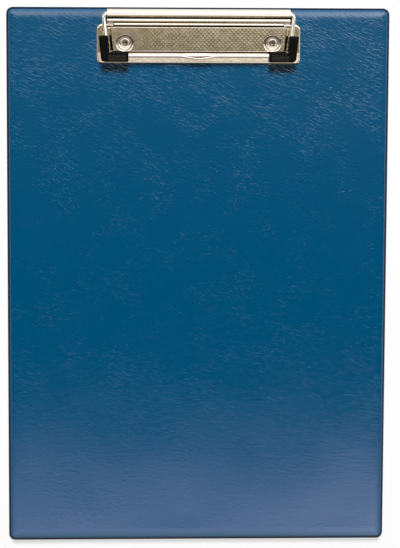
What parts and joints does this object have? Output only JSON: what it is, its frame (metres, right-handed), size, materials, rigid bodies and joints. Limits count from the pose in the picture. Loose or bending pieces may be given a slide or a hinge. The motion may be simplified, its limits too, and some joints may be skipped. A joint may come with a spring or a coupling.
{
  "type": "clipboard",
  "caption": "Flat foil-covered clipboard with a low-profile wire-bail clip and rubber corner grips riveted at its top edge.",
  "frame": {"origin": "middle of the board's back face", "axes": "+X across the board, +Y towards the clip, +Z out of the writing face"},
  "size_m": [0.23, 0.325, 0.0088],
  "materials": {
    "greyboard": "pressed grey board",
    "front_foil": "leather-grained PVC foil, semi-gloss",
    "back_foil": "leather-grained PVC foil, semi-gloss",
    "nickel_plate": "nickel-plated, diamond embossed",
    "nickel_wire": "polished nickel plate",
    "grip_rubber": "moulded black rubber",
    "rivet_steel": "nickel-plated, pressed"
  },
  "bodies": {
    "board": {"board_core": "greyboard", "front_cover": "front_foil", "back_cover": "back_foil", "clip_plate": "nickel_plate", "left_rivet": "rivet_steel", "right_rivet": "rivet_steel"},
    "bail": {"bail_wire": "nickel_wire", "left_grip": "grip_rubber", "right_grip": "grip_rubber"}
  },
  "joints": [
    {"name": "bail_hinge", "type": "hinge", "parent": "board", "child": "bail", "pos_m": [0, 0.15885, 0.00595], "axis": [-1, 0, 0], "range_deg": [0, 95]}
  ]
}
